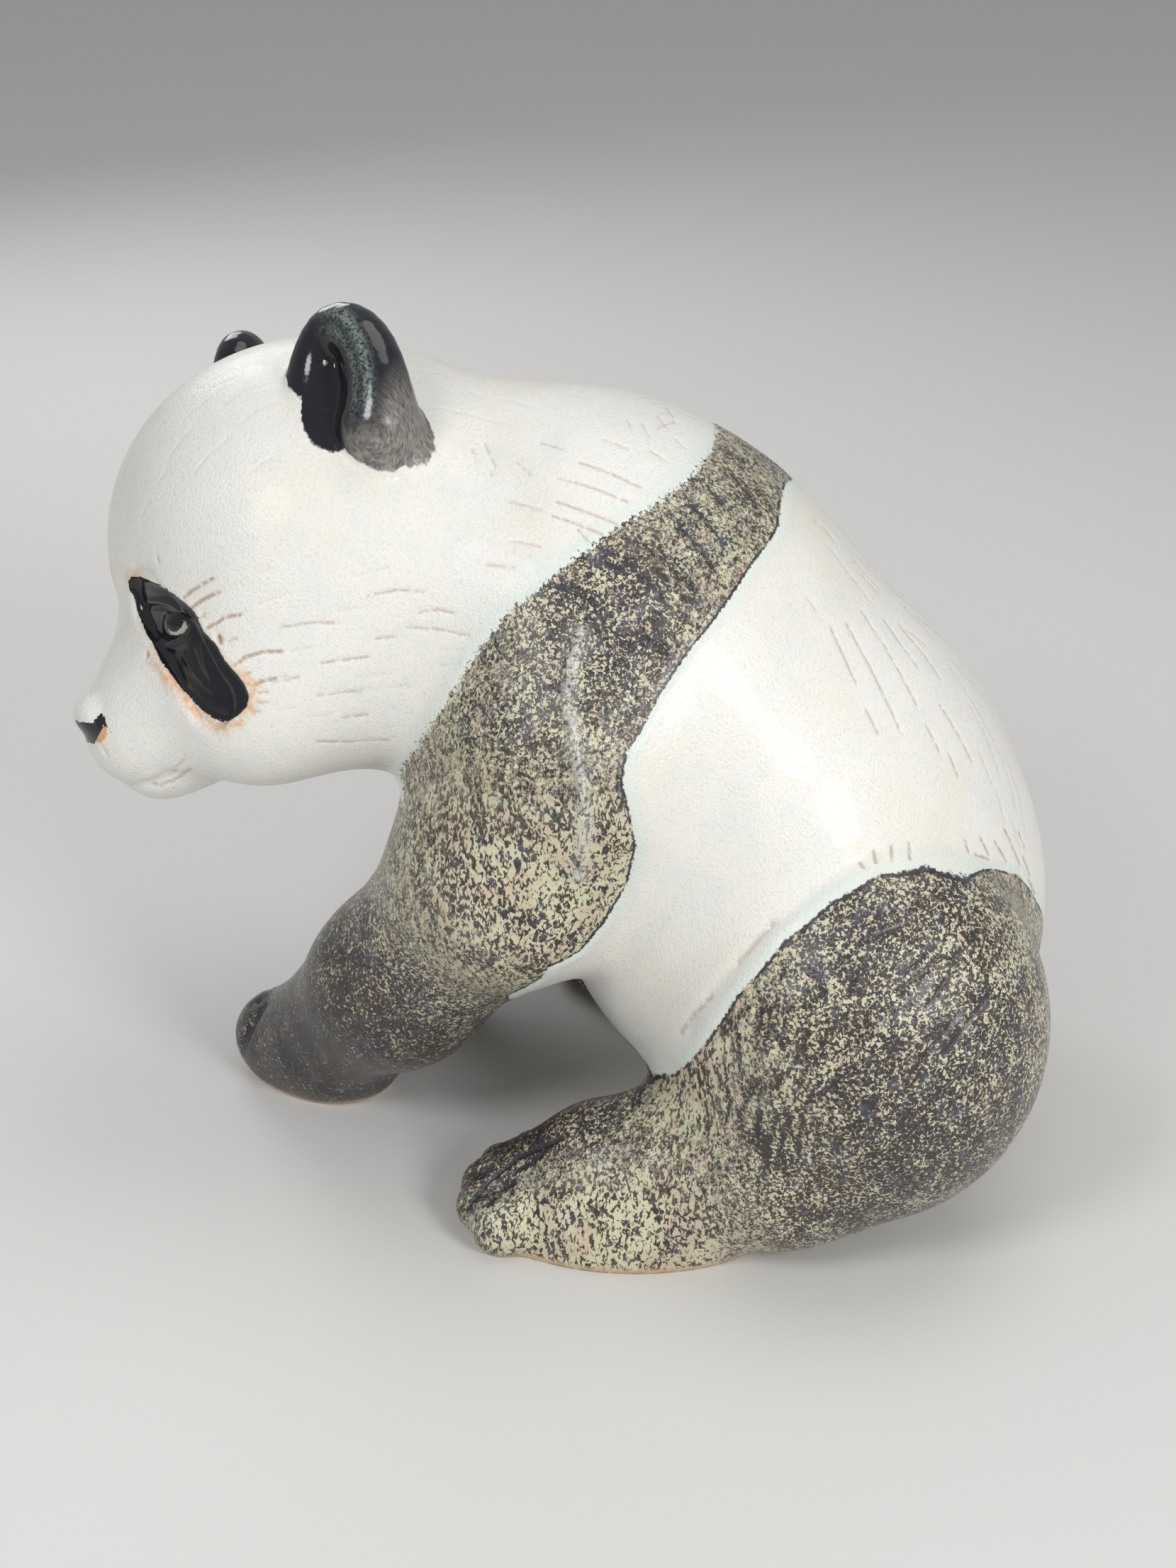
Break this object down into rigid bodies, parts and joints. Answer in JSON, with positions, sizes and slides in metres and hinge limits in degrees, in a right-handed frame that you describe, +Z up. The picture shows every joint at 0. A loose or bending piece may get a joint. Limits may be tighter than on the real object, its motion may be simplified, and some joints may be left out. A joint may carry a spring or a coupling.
{
  "type": "panda figurine",
  "caption": "Glazed stoneware figurine of a panda, hunched on its haunches with its forepaws down and its head bowed to its left.",
  "frame": {"origin": "on the floor, in the middle of the figurine's outline seen from above", "axes": "+Z up, -Y the way the body faces, +X the panda's left"},
  "size_m": [0.1114, 0.1524, 0.139],
  "materials": {
    "white_glaze": "warm white satin glaze with incised brown fur strokes",
    "speckled_glaze": "charcoal glaze that breaks to cream flecks on the legs and shoulder band",
    "black_glaze": "glossy black glaze round the eyes, on the nose and in the ears",
    "bare_clay": "unglazed buff stoneware under the feet"
  },
  "bodies": {
    "root": {"panda": "white_glaze"}
  },
  "joints": []
}
